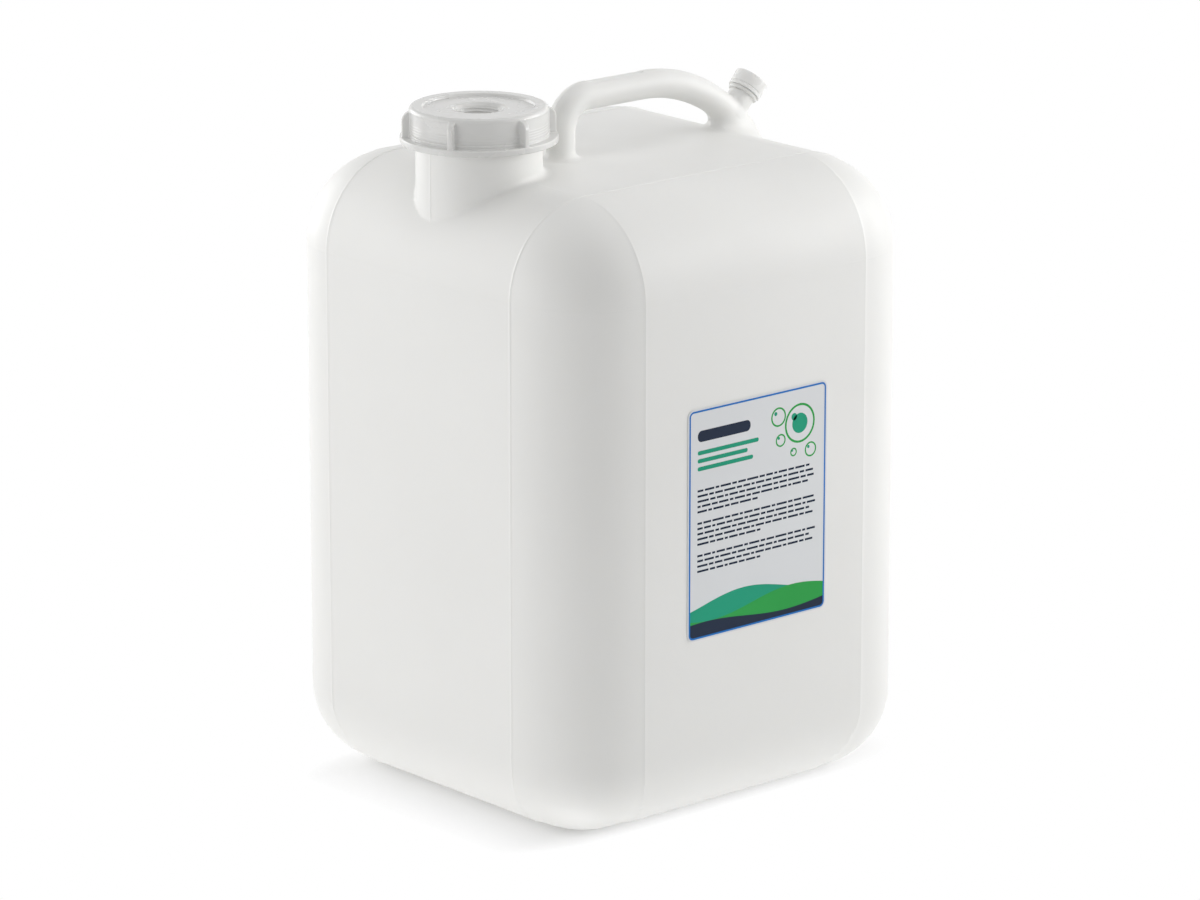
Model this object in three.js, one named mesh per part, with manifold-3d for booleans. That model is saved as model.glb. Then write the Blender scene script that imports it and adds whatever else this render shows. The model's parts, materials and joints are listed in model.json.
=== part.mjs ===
// Square jerrican of natural polyethylene that holds a liquid soap refill.
// Millimetres, +Z up. The origin is the centre of the base, on the floor. The label faces -Y.
// The neck, the handle and the vent stand on the plane y = 0, which is the parting plane of the blow mould.
// The neck is on the -X side.
import * as THREE from 'three';
import { RoundedBoxGeometry } from 'three/addons/geometries/RoundedBoxGeometry.js';
import { LoftGeometry } from 'three/addons/geometries/LoftGeometry.js';
import { mergeVertices } from 'three/addons/utils/BufferGeometryUtils.js';
import Module from 'manifold-3d';

const wasm = await Module();
wasm.setup();

// Body of the bottle
const bodyLength = 260;
const bodyWidth = 254.5;
const bodyHeight = 349;
const edgeRadius = 50.5;
const wall = 2.2;
const footBand = 16;
const footRecess = 3;
const footCornerRadius = 18;

// Neck, on the shoulder of the -X side
const neckInset = 44;
const neckRadius = 34.1;
const neckWall = 2.6;
const neckHeight = 31.1;
const neckFillet = 5;
const lipChamfer = 0.7;

// Main cap and its gasket
const threadDepth = 1.2;
const threadClearance = 0.4;
const capWall = 1.7;
const capPlate = 2.6;
const capSkirt = 15.3;
const rimStep = 1.6;
const rimWidth = 5;
const rimRound = 2.1;
const rimChamfer = 0.8;
const flangeReach = 5.1;
const flangeThickness = 3.4;
const flangeRound = 0.6;
const wallFootReach = 0.45;
const wallFootHeight = 1.7;
const lugCount = 6;
const lugTurn = -92;
const lugReach = 4.3;
const lugWidth = 2.6;
const lugShoulder = 6.4;
const recessRadius = 12.7;
const recessChamfer = 1.7;
const recessDepth = 12;
const recessWall = 2.4;
const recessFloor = 1.6;
const gasketThickness = 2;
const gasketOverlap = 0.5;

// Carrying handle: a post, a straight grip and an arch down to the shoulder of the +X side
const gripRadius = 8;
const gripWall = 2.2;
const gripClearance = 24.4;
const gripFlat = 0.6;
const postGap = 7.2;
const postBend = 18;
const postFillet = 4.5;
const archInset = 100;
const archRadius = 96;
const archEnd = 50;
const dropRadius = 20;
const dropLength = 15;

// Vent neck, square to the handle on the arch
const ventTurn = 43;
const ventNeckRadius = 7.4;
const ventFinishRadius = 6.9;
const ventBoreRadius = 4.6;
const ventCollarRadius = 8.7;
const ventCollarThickness = 1.8;
const ventCollarRise = 5.6;
const ventFinishLength = 6.2;
const ventFlare = 3;

// Vent cap and its liner
const ventCapGap = 0.7;
const ventThreadClearance = 1;
const ventCapWall = 1.75;
const ventCapPlate = 1.4;
const ventCapRound = 0.6;
const ventCapFlare = 0.3;
const ventLinerThickness = 1;

// Label on the front face
const labelWidth = 101;
const labelHeight = 128.5;
const labelCorner = 4;
const labelThickness = 0.25;
const labelCentreX = 0.8;
const labelCentreZ = 172.5;
const labelGap = 0.1;

// Soap
const headspace = 31.4;

// Clearance between a piece and what it seats on
const seat = 0.3;

// Facets on round forms
const capSides = 60;
const neckSides = 60;
const gripSides = 16;
const gripSteps = 44;
const ventSides = 28;
const bodyCornerSteps = 5;
const insideCornerSteps = 4;
const filletSteps = 5;
const arcSteps = 4;

// Places worked out from the sizes above
const neckX = -bodyLength / 2 + neckInset;
const lipZ = bodyHeight + neckHeight;
const neckBore = neckRadius - neckWall;
const gasketZ = lipZ + seat;
const plateBottomZ = gasketZ + gasketThickness + seat;
const plateTopZ = plateBottomZ + capPlate;
const capTopZ = plateTopZ + rimStep;
const flangeBottomZ = plateBottomZ - capSkirt;
const flangeTopZ = flangeBottomZ + flangeThickness;
const skirtRadius = neckRadius + threadDepth + threadClearance;
const capRadius = skirtRadius + capWall;
const flangeRadius = capRadius + flangeReach;
const gripZ = bodyHeight + gripClearance + gripRadius;
const postX = neckX + flangeRadius + postGap + gripRadius;
const archX = bodyLength / 2 - archInset;
const archZ = gripZ - archRadius;
const soapZ = bodyHeight - headspace;
const shoulderX = bodyLength / 2 - edgeRadius;
const shoulderZ = bodyHeight - edgeRadius;

// Finishes
const naturalPlastic = { color: 0xe6e6e3, roughness: 0.42 };
const capPlastic = { color: 0xe9e9e7, roughness: 0.38 };
const sealFoam = { color: 0xf2f2ee, roughness: 0.8 };
const labelFilm = { color: 0xcfd0d3, roughness: 0.35 };
const liquidSoap = { color: 0xd9dde0, roughness: 0.2 };

// Vertices nearer than this are one point of a solid
const mergeDistance = 1e-3;

// Solids: a closed geometry becomes a solid that can be joined and cut, with its faces turned out
function solidOf(geometry) {
  const bare = new THREE.BufferGeometry();
  bare.setAttribute('position', geometry.attributes.position);
  bare.setIndex(geometry.index);
  const merged = mergeVertices(bare, mergeDistance);
  const points = merged.attributes.position.array;
  const corners = merged.index.array;
  const kept = [];
  for (let i = 0; i < corners.length; i += 3) {
    const [a, b, c] = [corners[i], corners[i + 1], corners[i + 2]];
    if (a !== b && b !== c && c !== a) kept.push(a, b, c);
  }
  const make = (list) => {
    const triVerts = Uint32Array.from(list);
    return new wasm.Manifold(new wasm.Mesh({ numProp: 3, vertProperties: points, triVerts }));
  };
  const solid = make(kept);
  if (solid.volume() > 0) return solid;
  return make(kept.reverse());
}

function geometryOf(solid) {
  const mesh = solid.getMesh();
  const geometry = new THREE.BufferGeometry();
  const points = Float32Array.from(mesh.vertProperties);
  geometry.setAttribute('position', new THREE.BufferAttribute(points, 3));
  geometry.setIndex(Array.from(mesh.triVerts));
  geometry.computeVertexNormals();
  return geometry;
}

// A profile of [radius, height] points turned round the Z axis
function turned(profile, sides) {
  const points = profile.map(([radius, height]) => new THREE.Vector2(radius, height));
  return new THREE.LatheGeometry(points, sides).rotateX(Math.PI / 2);
}

// Points of a quarter turn or less, between two angles in degrees
function arc(centreR, centreZ, radius, from, to, steps) {
  const points = [];
  for (let i = 0; i <= steps; i += 1) {
    const angle = THREE.MathUtils.degToRad(from + ((to - from) * i) / steps);
    points.push([centreR + radius * Math.cos(angle), centreZ + radius * Math.sin(angle)]);
  }
  return points;
}

function roundedBox(length, width, bottom, top, radius, steps) {
  const box = new RoundedBoxGeometry(length, width, top - bottom, steps, radius);
  return box.translate(0, 0, (bottom + top) / 2);
}

function roundedRectangle(width, height, radius) {
  const [x, y] = [width / 2 - radius, height / 2 - radius];
  const shape = new THREE.Shape();
  shape.absarc(x, y, radius, 0, Math.PI / 2);
  shape.absarc(-x, y, radius, Math.PI / 2, Math.PI);
  shape.absarc(-x, -y, radius, Math.PI, 1.5 * Math.PI);
  shape.absarc(x, -y, radius, 1.5 * Math.PI, 2 * Math.PI);
  return shape.closePath();
}

// Frame of the vent: its origin is the centre of the arch, and its Z axis leaves the handle
const ventFrame = new THREE.Group();
ventFrame.position.set(archX, 0, archZ);
ventFrame.rotation.y = THREE.MathUtils.degToRad(ventTurn);
ventFrame.updateMatrix();
const handleTop = archRadius + gripRadius;
const ventCollarS = handleTop + ventCollarRise;
const ventLipS = ventCollarS + ventCollarThickness + ventFinishLength;
const ventLinerS = ventLipS + seat;
const ventPlateS = ventLinerS + ventLinerThickness + seat;
const ventCapBottomS = ventCollarS + ventCollarThickness + ventCapGap;
const ventSkirtRadius = ventFinishRadius + ventThreadClearance;

// Centre line of the handle, which the grip and its hollow share
class HandleLine extends THREE.Curve {
  constructor() {
    super();
    const turn = THREE.MathUtils.degToRad(90 - archEnd);
    const endX = archX + archRadius * Math.cos(turn);
    const endZ = archZ + archRadius * Math.sin(turn);
    const dropX = endX - dropRadius * Math.cos(turn);
    const dropZ = endZ - dropRadius * Math.sin(turn);
    this.path = new THREE.Path();
    this.path.moveTo(postX, bodyHeight - gripRadius);
    this.path.lineTo(postX, gripZ - postBend);
    this.path.absarc(postX + postBend, gripZ - postBend, postBend, Math.PI, Math.PI / 2, true);
    this.path.absarc(archX, archZ, archRadius, Math.PI / 2, turn, true);
    this.path.absarc(dropX, dropZ, dropRadius, turn, 0, true);
    this.path.lineTo(dropX + dropRadius, dropZ - dropLength);
  }

  getPoint(t, target = new THREE.Vector3()) {
    const point = this.path.getPoint(t);
    return target.set(point.x, 0, point.y);
  }
}

function tubeAlongHandle(radius) {
  const section = new THREE.Shape().absarc(0, 0, radius, 0, 2 * Math.PI);
  const options = { extrudePath: new HandleLine(), steps: gripSteps, curveSegments: gripSides / 2 };
  return new THREE.ExtrudeGeometry(section, options);
}

// Outside of the handle, with a flat along the top of its straight grip
function grip() {
  const above = new THREE.BoxGeometry(archX - postX, 2 * gripRadius, gripRadius);
  above.translate((archX + postX) / 2, 0, gripZ + gripRadius - gripFlat + gripRadius / 2);
  return solidOf(tubeAlongHandle(gripRadius)).subtract(solidOf(above));
}

// Fillet where an upright round wall stands on the body: the inside of the ring that a rolling ball sweeps
function baseFillet(axisX, wallRadius, radius, sides) {
  const reach = wallRadius + radius;
  const depth = radius / 2;
  const sections = [];
  for (let i = 0; i <= sides; i += 1) {
    const angle = (2 * Math.PI * i) / sides;
    const outwards = new THREE.Vector3(Math.cos(angle), Math.sin(angle), 0);
    const ball = new THREE.Vector3(axisX, 0, shoulderZ).addScaledVector(outwards, reach);
    const past = Math.sign(ball.x) * Math.max(0, Math.abs(ball.x) - shoulderX);
    const rise = Math.sqrt((edgeRadius + radius) ** 2 - past ** 2);
    ball.z += rise;
    const toWall = outwards.clone().negate();
    const toBody = new THREE.Vector3(-past, 0, -rise).normalize();
    const turn = new THREE.Quaternion().setFromUnitVectors(toWall, toBody);
    const outline = [];
    for (let step = 0; step <= filletSteps; step += 1) {
      const part = new THREE.Quaternion().slerp(turn, step / filletSteps);
      outline.push(toWall.clone().applyQuaternion(part).multiplyScalar(radius).add(ball));
    }
    const foot = outline[filletSteps].clone();
    foot.z -= depth;
    const under = new THREE.Vector3(axisX, 0, foot.z).addScaledVector(outwards, wallRadius - depth);
    const behind = under.clone().setZ(ball.z);
    sections.push([...outline, foot, under, behind]);
  }
  return new LoftGeometry(sections);
}

// Shallow recess in the base, which leaves a flat band to stand on
function footSolid(margin) {
  const inset = edgeRadius + footBand + footRecess - margin;
  const outline = roundedRectangle(bodyLength - 2 * inset, bodyWidth - 2 * inset, footCornerRadius);
  const block = new THREE.ExtrudeGeometry(outline, {
    depth: edgeRadius / 2 + margin,
    curveSegments: arcSteps,
    bevelThickness: footRecess,
    bevelSize: footRecess,
    bevelSegments: 1,
  });
  return solidOf(block.translate(0, 0, -edgeRadius / 2));
}

function bottleOutside() {
  const body = roundedBox(bodyLength, bodyWidth, 0, bodyHeight, edgeRadius, bodyCornerSteps);
  const neck = turned([
    [0, shoulderZ],
    [neckRadius, shoulderZ],
    [neckRadius, lipZ - lipChamfer],
    [neckRadius - lipChamfer, lipZ],
    [0, lipZ],
  ], neckSides).translate(neckX, 0, 0);
  const vent = turned([
    [0, archRadius],
    [ventNeckRadius + ventFlare, handleTop - ventFlare],
    ...arc(ventNeckRadius + ventFlare, handleTop + ventFlare / 2, ventFlare, 240, 180, arcSteps),
    [ventNeckRadius, ventCollarS - ventCollarThickness / 2],
    [ventCollarRadius, ventCollarS],
    [ventCollarRadius, ventCollarS + ventCollarThickness],
    [ventFinishRadius, ventCollarS + ventCollarThickness],
    [ventFinishRadius, ventLipS],
    [0, ventLipS],
  ], ventSides).applyMatrix4(ventFrame.matrix);
  return solidOf(body)
    .subtract(footSolid(0))
    .add(solidOf(neck))
    .add(solidOf(baseFillet(neckX, neckRadius, neckFillet, neckSides)))
    .add(grip())
    .add(solidOf(baseFillet(postX, gripRadius, postFillet, gripSides)))
    .add(solidOf(vent));
}

function bottleInside() {
  const length = bodyLength - 2 * wall;
  const width = bodyWidth - 2 * wall;
  const body = roundedBox(length, width, wall, bodyHeight - wall, edgeRadius - wall, insideCornerSteps);
  const plug = (radius, low, high) => [[0, low], [radius, low], [radius, high], [0, high]];
  const neck = turned(plug(neckBore, shoulderZ, lipZ + wall), neckSides).translate(neckX, 0, 0);
  const vent = turned(plug(ventBoreRadius, archRadius, ventLipS + wall), ventSides);
  return solidOf(body)
    .subtract(footSolid(wall))
    .add(solidOf(neck))
    .add(solidOf(tubeAlongHandle(gripRadius - gripWall)))
    .add(solidOf(vent.applyMatrix4(ventFrame.matrix)));
}

function bottle() {
  return bottleOutside().subtract(bottleInside());
}

function capLug(index) {
  const [inner, outer] = [capRadius - capWall / 2, capRadius + lugReach];
  const topZ = capTopZ - rimRound;
  const outline = new THREE.Shape();
  outline.moveTo(inner, flangeTopZ - flangeThickness / 2);
  outline.lineTo(outer, flangeTopZ - flangeThickness / 2);
  outline.lineTo(outer, topZ - lugShoulder);
  outline.absellipse(inner, topZ - lugShoulder, outer - inner, lugShoulder, 0, Math.PI / 2);
  outline.closePath();
  const options = { depth: lugWidth, bevelEnabled: false, curveSegments: arcSteps };
  const lug = new THREE.ExtrudeGeometry(outline, options);
  lug.translate(0, 0, -lugWidth / 2).rotateX(Math.PI / 2);
  lug.rotateZ(THREE.MathUtils.degToRad(lugTurn + (360 * index) / lugCount));
  return solidOf(lug.translate(neckX, 0, 0));
}

function mainCap() {
  const recessZ = plateTopZ - recessDepth;
  const bossRadius = recessRadius + recessWall;
  const rimInner = capRadius - rimRound - rimWidth;
  const shell = turned([
    [0, recessZ - recessFloor],
    [bossRadius, recessZ - recessFloor],
    [bossRadius, plateBottomZ],
    [skirtRadius, plateBottomZ],
    [skirtRadius, flangeBottomZ],
    [flangeRadius - flangeRound, flangeBottomZ],
    [flangeRadius, flangeBottomZ + flangeRound],
    [flangeRadius, flangeTopZ - flangeRound],
    [flangeRadius - flangeRound, flangeTopZ],
    [capRadius + wallFootReach, flangeTopZ],
    [capRadius + wallFootReach, flangeTopZ + wallFootHeight],
    [capRadius, flangeTopZ + wallFootHeight],
    ...arc(capRadius - rimRound, capTopZ - rimRound, rimRound, 0, 90, arcSteps),
    [rimInner, capTopZ],
    [rimInner - rimChamfer, plateTopZ],
    [recessRadius + recessChamfer, plateTopZ],
    [recessRadius, plateTopZ - recessChamfer],
    [recessRadius, recessZ],
    [0, recessZ],
  ], capSides).translate(neckX, 0, 0);
  let cap = solidOf(shell);
  for (let i = 0; i < lugCount; i += 1) cap = cap.add(capLug(i));
  return cap;
}

function capGasket() {
  const [inner, outer] = [neckBore - gasketOverlap, neckRadius + gasketOverlap];
  const [low, high] = [gasketZ, gasketZ + gasketThickness];
  const section = [[inner, low], [outer, low], [outer, high], [inner, high], [inner, low]];
  return solidOf(turned(section, capSides).translate(neckX, 0, 0));
}

function ventCap() {
  const radius = ventSkirtRadius + ventCapWall;
  const topS = ventPlateS + ventCapPlate;
  const crown = radius + ventCapFlare;
  return solidOf(turned([
    [0, ventPlateS],
    [ventSkirtRadius, ventPlateS],
    [ventSkirtRadius, ventCapBottomS],
    [radius, ventCapBottomS],
    ...arc(crown - ventCapRound, topS - ventCapRound, ventCapRound, 0, 90, arcSteps),
    [0, topS],
  ], ventSides));
}

function ventCapLiner() {
  const [low, high] = [ventLinerS, ventLinerS + ventLinerThickness];
  const radius = ventSkirtRadius - seat;
  return solidOf(turned([[0, low], [radius, low], [radius, high], [0, high]], ventSides));
}

function label() {
  const outline = roundedRectangle(labelWidth, labelHeight, labelCorner);
  const film = new THREE.ExtrudeGeometry(outline, {
    depth: labelThickness,
    bevelEnabled: false,
    curveSegments: arcSteps,
  });
  film.rotateX(Math.PI / 2);
  return solidOf(film.translate(labelCentreX, -bodyWidth / 2 - labelGap, labelCentreZ));
}

// Soap at rest, level, with a clearance to the walls that hold it
function soap() {
  const margin = wall + seat;
  const length = bodyLength - 2 * margin;
  const width = bodyWidth - 2 * margin;
  const radius = edgeRadius - margin;
  const inside = roundedBox(length, width, margin, bodyHeight - margin, radius, insideCornerSteps);
  const above = new THREE.BoxGeometry(bodyLength, bodyWidth, bodyHeight);
  above.translate(0, 0, soapZ + bodyHeight / 2);
  return solidOf(inside).subtract(footSolid(margin)).subtract(solidOf(above));
}

function piece(name, solid, finish) {
  const material = new THREE.MeshStandardMaterial({ metalness: 0, ...finish });
  const mesh = new THREE.Mesh(geometryOf(solid), material);
  mesh.name = name;
  return mesh;
}

const jerrican = new THREE.Group();
jerrican.add(piece('bottle', bottle(), naturalPlastic));
jerrican.add(piece('main_cap', mainCap(), capPlastic));
jerrican.add(piece('cap_gasket', capGasket(), sealFoam));
jerrican.add(piece('label', label(), labelFilm));
jerrican.add(piece('soap_fill', soap(), liquidSoap));
ventFrame.add(piece('vent_cap', ventCap(), capPlastic));
ventFrame.add(piece('vent_cap_liner', ventCapLiner(), sealFoam));
jerrican.add(ventFrame);

export default jerrican;
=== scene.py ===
# Looks of a square jerrican of natural polyethylene that holds a liquid soap refill.
# Sizes are in millimetres. Each mesh is made in millimetres and scaled to metres as it becomes an object.
import itertools
import json
import math

import bmesh
import bpy
import numpy as np
from mathutils import Matrix, Vector


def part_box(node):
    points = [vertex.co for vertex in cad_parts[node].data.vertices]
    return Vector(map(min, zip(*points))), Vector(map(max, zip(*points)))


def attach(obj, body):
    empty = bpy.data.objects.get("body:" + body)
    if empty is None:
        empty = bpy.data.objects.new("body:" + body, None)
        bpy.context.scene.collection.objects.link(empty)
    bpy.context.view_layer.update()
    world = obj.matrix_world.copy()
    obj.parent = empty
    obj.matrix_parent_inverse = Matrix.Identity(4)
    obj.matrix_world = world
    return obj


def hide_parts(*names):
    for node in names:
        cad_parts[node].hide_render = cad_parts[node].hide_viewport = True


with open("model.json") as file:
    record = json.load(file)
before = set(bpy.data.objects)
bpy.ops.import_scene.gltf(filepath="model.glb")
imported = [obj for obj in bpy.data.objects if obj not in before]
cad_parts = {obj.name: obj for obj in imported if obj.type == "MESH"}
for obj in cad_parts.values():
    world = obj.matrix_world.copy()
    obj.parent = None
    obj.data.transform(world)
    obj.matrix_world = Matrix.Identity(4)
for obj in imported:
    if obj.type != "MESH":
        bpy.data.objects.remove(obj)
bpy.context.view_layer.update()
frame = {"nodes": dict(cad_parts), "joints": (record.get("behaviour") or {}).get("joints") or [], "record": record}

MM = 0.001
TURN = 2 * math.pi


def box_mm(node):
    """Lowest and highest corner of a node of the frame, in millimetres."""
    low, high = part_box(node)
    return np.array(low) / MM, np.array(high) / MM


# Places taken from the frame
bottle_high = box_mm("bottle")[1]
cap_low, cap_high = box_mm("main_cap")
gasket_low, gasket_high = box_mm("cap_gasket")
label_low, label_high = box_mm("label")
vent_joint = next(joint for joint in frame["joints"] if joint["name"] == "vent_turn")
couplings = {c["joint"]: c["ratio"] for c in frame["record"]["behaviour"]["couplings"]}

# Body of the bottle
half_length = bottle_high[0]
half_width = bottle_high[1]
body_height = 349.0
edge_radius = 50.5
foot_radius = 46.0
corner_radius = 48.5
wall = 2.2
foot_band = 16.0
foot_recess = 3.0
foot_corner = 18.0
foot_round = 1.2
pinch_height = 0.5
pinch_width = 0.7
pinch_fade = 20.0

# Mould lines along the edges of the faces: a ridge with a gentle side towards the face, a lower share of it
# along the other edges, a groove beside it on the top, and a drift towards the middle of the face at the foot
crease_height = 0.28
crease_width = 0.45
crease_rise = 0.9
crown_reach = edge_radius / 4
crown_gain = 0.5
groove_share = 0.7
groove_offset = 1.0
side_crease_share = 0.15
level_crease_share = 0.15
crease_drift = (17.0, 12.0)

# Corners: how far they step back behind the mould lines, and the distances over which they do
corner_recess = 1.15
end_fade = 11.0
side_fade = 4.6

# Neck
seat = 0.3
neck_x = (cap_low[0] + cap_high[0]) / 2
lip_z = gasket_low[2] - seat
neck_radius = 34.1
neck_bore = 31.5
neck_fillet = 5.0
neck_fillet_outer = 0.6
lip_round = 0.7
parting_height = 0.3
parting_width = 0.42
cap_pitch = couplings["cap_lift"] * TURN / MM

# Main cap
flange_radius = (cap_high[0] - cap_low[0]) / 2
cap_bottom = cap_low[2]
cap_top = cap_high[2]
plate_bottom = gasket_high[2] + seat
plate_thickness = 2.6
plate_top = plate_bottom + plate_thickness
skirt_radius = 35.7
cap_radius = 37.4
rim_inner = 30.3
rim_round = 2.1
flange_thickness = 3.4
flange_top = cap_bottom + flange_thickness
flange_round = 0.6
foot_ring = 0.45
foot_ring_height = 1.7
foot_ring_fillet = 0.2
line_height = 0.08
line_width = 0.4
line_first = 2.8
line_pitch = 1.4
line_count = 4
lug_count = 6
lug_turn = math.radians(-92)
lug_reach = 4.3
lug_width = 2.6
lug_round = 0.55
lug_shoulder = 5.2
lug_draft = 0.12
lug_fillet = 0.8
lug_sink = 1.0
recess_radius = 12.7
recess_chamfer = 1.7
recess_depth = 7.0
recess_floor = plate_top - recess_depth
recess_ring = 1.4
recess_taper = 0.45
recess_pitch = 1.7
recess_thread = 0.35
recess_thread_width = 0.4
boss_radius = 15.1
boss_depth = 13.6
boss_bottom = plate_top - boss_depth
small_fillet = 0.5

# Handle: a post, a straight grip with a flat along its top, and an arch down to the far shoulder
grip_radius = 8.0
grip_wall = 2.2
grip_gap = 24.4
grip_z = body_height + grip_gap + grip_radius
grip_flat = 0.9
flat_round = 0.3
post_gap = 7.2
post_x = neck_x + flange_radius + post_gap + grip_radius
post_bend = 18.0
post_fillet = 4.5
arch_inset = 100.0
arch_x = half_length - arch_inset
arch_radius = 96.0
arch_z = grip_z - arch_radius
arch_end = math.radians(40)
drop_radius = 20.0
drop_length = 15.0
arch_fillet = 8.0
gap_fillet = 12.0
gap_end = 84.0
gap_fillet_run = 34.0

# Vent: distances along its axis are from the centre of the arch
vent_turn = math.atan2(vent_joint["axis"][0], vent_joint["axis"][2])
vent_pitch = couplings["vent_lift"] * TURN / MM
vent_neck_radius = 7.4
vent_fillet = 1.4
vent_neck_length = 5.6
vent_collar = arch_radius + grip_radius + vent_neck_length
vent_collar_thickness = 1.8
vent_collar_top = vent_collar + vent_collar_thickness
vent_overlap = 0.6
vent_collar_radius = 8.7
vent_finish_radius = 6.9
vent_bore = 4.6
vent_finish_length = 6.2
vent_lip = vent_collar_top + vent_finish_length
vent_liner = 1.0
vent_plate = vent_lip + 2 * seat + vent_liner
vent_cap_gap = 0.08
vent_cap_bottom = vent_collar_top + vent_cap_gap
vent_plate_thickness = 1.4
vent_cap_top = vent_plate + vent_plate_thickness
vent_skirt = 7.9
vent_cap_radius = 9.65
vent_crown_radius = 9.95
vent_crown_round = 0.6
vent_groove = vent_cap_bottom + 1.7
vent_groove_depth = 0.35
vent_rim = 2.2
vent_dish = 0.4

# Threads: how far the ridge stands out, which is negative in a bore, then its width and its number of turns
neck_thread = (1.2, 1.9, 1.5)
neck_thread_start = cap_bottom + 3.4
cap_thread = (-0.9, 1.5, 1.4)
cap_thread_start = neck_thread_start + cap_pitch / 2
vent_thread = (0.6, 1.1, 1.4)
vent_thread_start = vent_collar_top + 1.2
vent_cap_thread = (-0.55, 0.9, 1.1)
vent_cap_thread_start = vent_cap_bottom + 1.5
least_crest = 0.05

# Label
label_corner = 4.0
label_x = (label_low[0] + label_high[0]) / 2
label_z = (label_low[2] + label_high[2]) / 2
label_width = label_high[0] - label_low[0]
label_height = label_high[2] - label_low[2]
label_front = label_low[1]
ink_thickness = 0.02

# View of the photograph, 1200 by 900 pixels
view_azimuth = math.radians(-41.219)
view_elevation = math.radians(15.576)
view_distance = 3293.93
view_height = 179.79
view_focal = 178.93
view_sensor = 36.0

# Floor: how white it looks beside the foot, and the distances from the core of the body, stretched along the
# axes, where that starts to rise and where the floor is all white
floor_lift = 0.05
floor_near = 14.0
floor_far = 66.0
floor_stretch = (1, 2.4, 1)
floor_reach = 6.0

# Lamps: azimuth and elevation in degrees, distance, width and height in metres, and power in watts
panels = (
    ("left_panel", -106, 10, 1.2, 1.0, 0.7, 3.5),
    ("left_rim", -165, 15, 1.2, 0.8, 0.7, 4.4),
    ("right_panel", 57, 17, 1.2, 0.8, 0.7, 5.7),
    ("right_near", 60, 38, 0.75, 0.5, 0.4, 0.6),
    ("top_panel", 0, 89, 1.3, 1.0, 1.0, 2.4),
)
cap_spot = ("cap_spot", 36, 8, 0.35, 0.06, 0.06, 0.006)
cap_spot_target = (neck_x, 0, cap_top - 8)
cap_spot_spread = 30
table_light = ("table", 0, 0, 0, 0.5, 0.5, 0.23)
table_place = (0.08, -0.07, 0.0005)
table_spread = 60
fill_strength = 0.49

# Angles of the meshes: faces that meet at less than the flat angle are merged, and edges past the sharp angle
# stay sharp
flat_angle = math.radians(0.06)
sharp_angle = math.radians(32)


# Signed distances, in millimetres, negative inside

def rounded_box(x, y, z, half, radius):
    """Box round the origin with half sizes and one radius on all its edges."""
    qx = np.abs(x) - half[0] + radius
    qy = np.abs(y) - half[1] + radius
    qz = np.abs(z) - half[2] + radius
    outer = np.sqrt(np.maximum(qx, 0) ** 2 + np.maximum(qy, 0) ** 2 + np.maximum(qz, 0) ** 2)
    return outer + np.minimum(np.maximum(np.maximum(qx, qy), qz), 0) - radius


def slab(u, v, low_u, high_u, low_v, high_v, radius=0.0):
    """Rectangle in a plane, with rounded corners."""
    qu = np.abs(u - (low_u + high_u) / 2) - (high_u - low_u) / 2 + radius
    qv = np.abs(v - (low_v + high_v) / 2) - (high_v - low_v) / 2 + radius
    outer = np.hypot(np.maximum(qu, 0), np.maximum(qv, 0))
    return outer + np.minimum(np.maximum(qu, qv), 0) - radius


def block(plan, z, high, low_radius, high_radius):
    """Upright form from the floor to a height, with one radius round its foot and another round its top."""
    radius = np.where(z < high / 2, low_radius, high_radius)
    qp = plan + radius
    qz = np.abs(z - high / 2) - high / 2 + radius
    outer = np.hypot(np.maximum(qp, 0), np.maximum(qz, 0))
    return outer + np.minimum(np.maximum(qp, qz), 0) - radius


def join(a, b, radius):
    """Both forms, with a round fillet where they meet."""
    corner = np.hypot(np.maximum(radius - a, 0), np.maximum(radius - b, 0))
    return np.maximum(radius, np.minimum(a, b)) - corner


def cut(a, b, radius):
    """The first form without the second, with a rounded edge."""
    return -join(-a, b, radius)


def bead(offset, width):
    """A smooth ridge, 1 on its line and near 0 a width or two away."""
    return np.exp(-((offset / width) ** 2))


def from_segment(x, z, start, end):
    """Distance from a straight line in the plane of the handle."""
    along = np.array(end) - np.array(start)
    share = ((x - start[0]) * along[0] + (z - start[1]) * along[1]) / (along @ along)
    share = np.clip(share, 0, 1)
    return np.hypot(x - start[0] - share * along[0], z - start[1] - share * along[1])


def from_arc(x, z, centre, radius, low, high):
    """Distance from an arc in the plane of the handle, between two angles."""
    angle = np.clip(np.arctan2(z - centre[1], x - centre[0]), low, high)
    return np.hypot(x - centre[0] - radius * np.cos(angle), z - centre[1] - radius * np.sin(angle))


def handle(x, y, z, radius, flat):
    """Tube of the handle. The straight grip has a flat of the given depth along its top."""
    bend = (post_x + post_bend, grip_z - post_bend)
    reach = arch_radius - drop_radius
    drop = (arch_x + reach * math.cos(arch_end), arch_z + reach * math.sin(arch_end))
    end_x = drop[0] + drop_radius
    post = from_segment(x, z, (post_x, body_height - grip_radius), (post_x, bend[1]))
    post = np.minimum(post, from_arc(x, z, bend, post_bend, math.pi / 2, math.pi))
    grip = from_segment(x, z, (bend[0], grip_z), (arch_x, grip_z))
    arch = from_arc(x, z, (arch_x, arch_z), arch_radius, arch_end, math.pi / 2)
    arch = np.minimum(arch, from_arc(x, z, drop, drop_radius, 0, arch_end))
    arch = np.minimum(arch, from_segment(x, z, (end_x, drop[1]), (end_x, drop[1] - drop_length)))
    straight = cut(np.hypot(grip, y) - radius, grip_z + radius - flat - z, flat_round)
    straight = np.maximum(straight, x - arch_x)
    curved = np.maximum(np.hypot(arch, y) - radius, arch_x - x)
    return np.minimum(np.minimum(np.hypot(post, y) - radius, straight), curved)


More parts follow.
